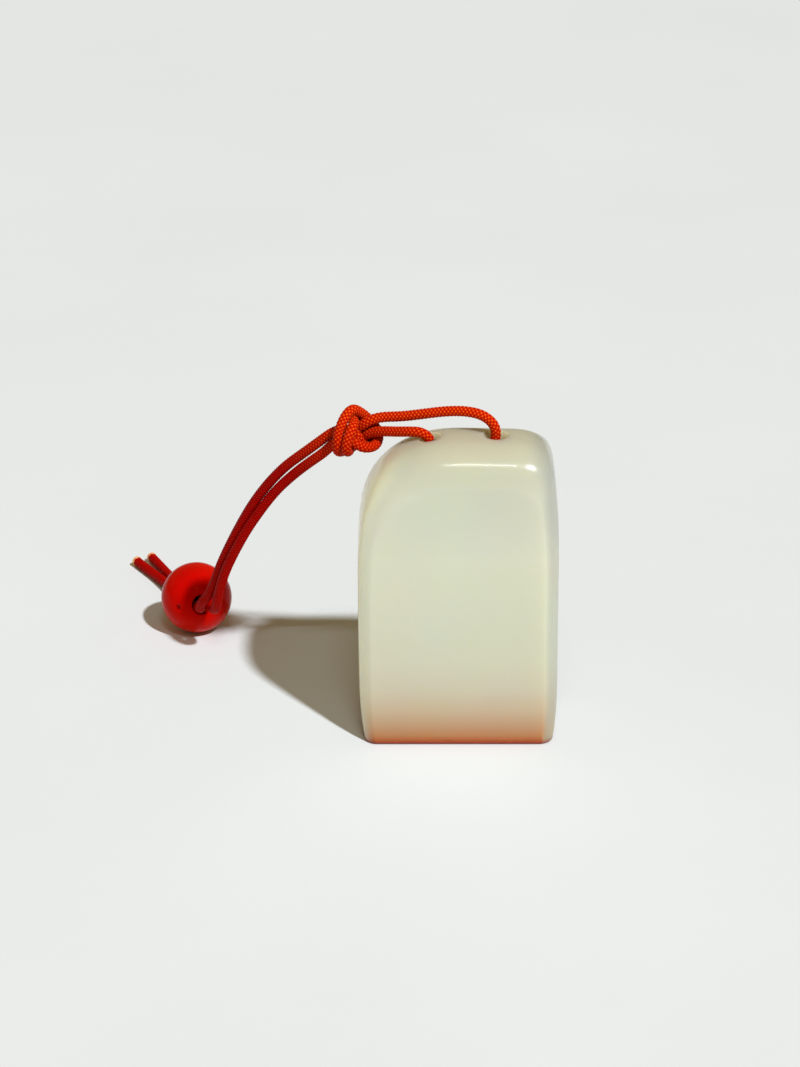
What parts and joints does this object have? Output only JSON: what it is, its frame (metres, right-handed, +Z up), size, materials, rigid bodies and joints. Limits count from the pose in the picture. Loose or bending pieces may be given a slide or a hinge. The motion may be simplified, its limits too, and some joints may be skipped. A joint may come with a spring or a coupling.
{
  "type": "seal stamp",
  "caption": "Polished stone seal block with a carved seal face and a cord tunnel through its top, on a doubled braided cord with a knot and a round bead.",
  "frame": {"origin": "bottom centre of the stone block, on the plane of its seal face", "axes": "+Z up from the seal face to the cord tunnel, +X to the right along the wide side, front at -Y"},
  "size_m": [0.0483, 0.0469, 0.0363],
  "materials": {
    "stone": "polished, milky and translucent",
    "cord": "fine braid with a slight sheen",
    "bead": "polished, coral red and slightly translucent",
    "melted": "singed and melted cord end"
  },
  "bodies": {
    "stone": {"seal_stone": "stone", "tunnel_cord": "cord"},
    "lanyard": {"loop_strand_right": "cord", "loop_strand_left": "cord", "knot_right": "cord", "knot_left": "cord", "pendant_strand_right": "cord", "pendant_strand_left": "cord", "tail_right": "cord", "tail_left": "cord", "melted_end_right": "melted", "melted_end_left": "melted"},
    "bead": {"bead": "bead"}
  },
  "joints": [
    {"name": "lanyard_swing", "type": "hinge", "parent": "stone", "child": "lanyard", "pos_m": [0, 0, 0.0332], "axis": [1, 0, 0], "range_deg": [0, 40]},
    {"name": "bead_turn", "type": "hinge", "parent": "lanyard", "child": "bead", "pos_m": [-0.0291, 0.023, 0.004], "axis": [0.22, -0.9531, 0.2079], "continuous": true}
  ]
}
